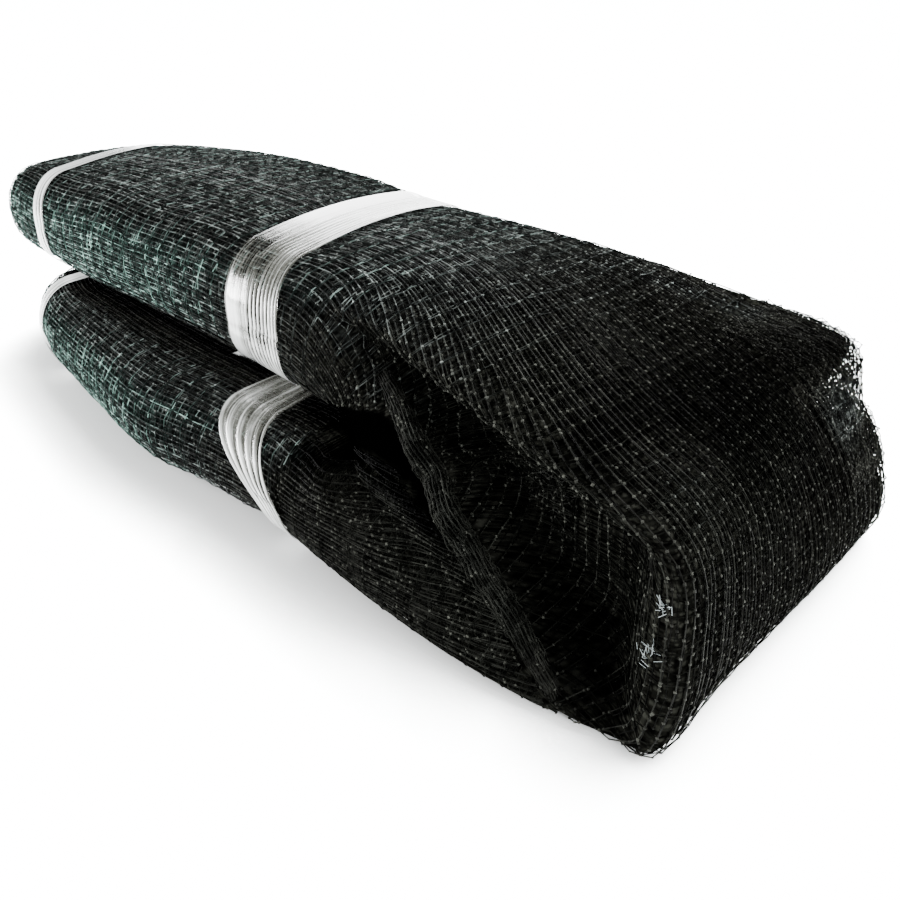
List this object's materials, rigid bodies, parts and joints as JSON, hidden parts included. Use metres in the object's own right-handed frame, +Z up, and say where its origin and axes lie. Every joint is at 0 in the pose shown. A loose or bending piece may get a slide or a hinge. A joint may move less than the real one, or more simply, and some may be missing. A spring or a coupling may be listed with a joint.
{
  "type": "bird netting",
  "caption": "Black square-mesh garden bird netting, gathered into a flat hank, folded double and held by film bands.",
  "frame": {"origin": "on the floor under the middle of the whole hank", "axes": "+X along the hank towards its fold, +Y to its right, +Z up"},
  "size_m": [0.9126, 0.3582, 0.197],
  "materials": {
    "net": "fine extruded plastic strands with a soft gloss",
    "clear_film": "stretched clear film, pleated and glossy",
    "white_film": "narrow white film, satin"
  },
  "bodies": {
    "root": {"netting": "net", "band_upper_mid": "clear_film", "band_lower_mid": "clear_film", "band_upper_far": "white_film", "band_lower_far": "white_film"}
  },
  "joints": []
}
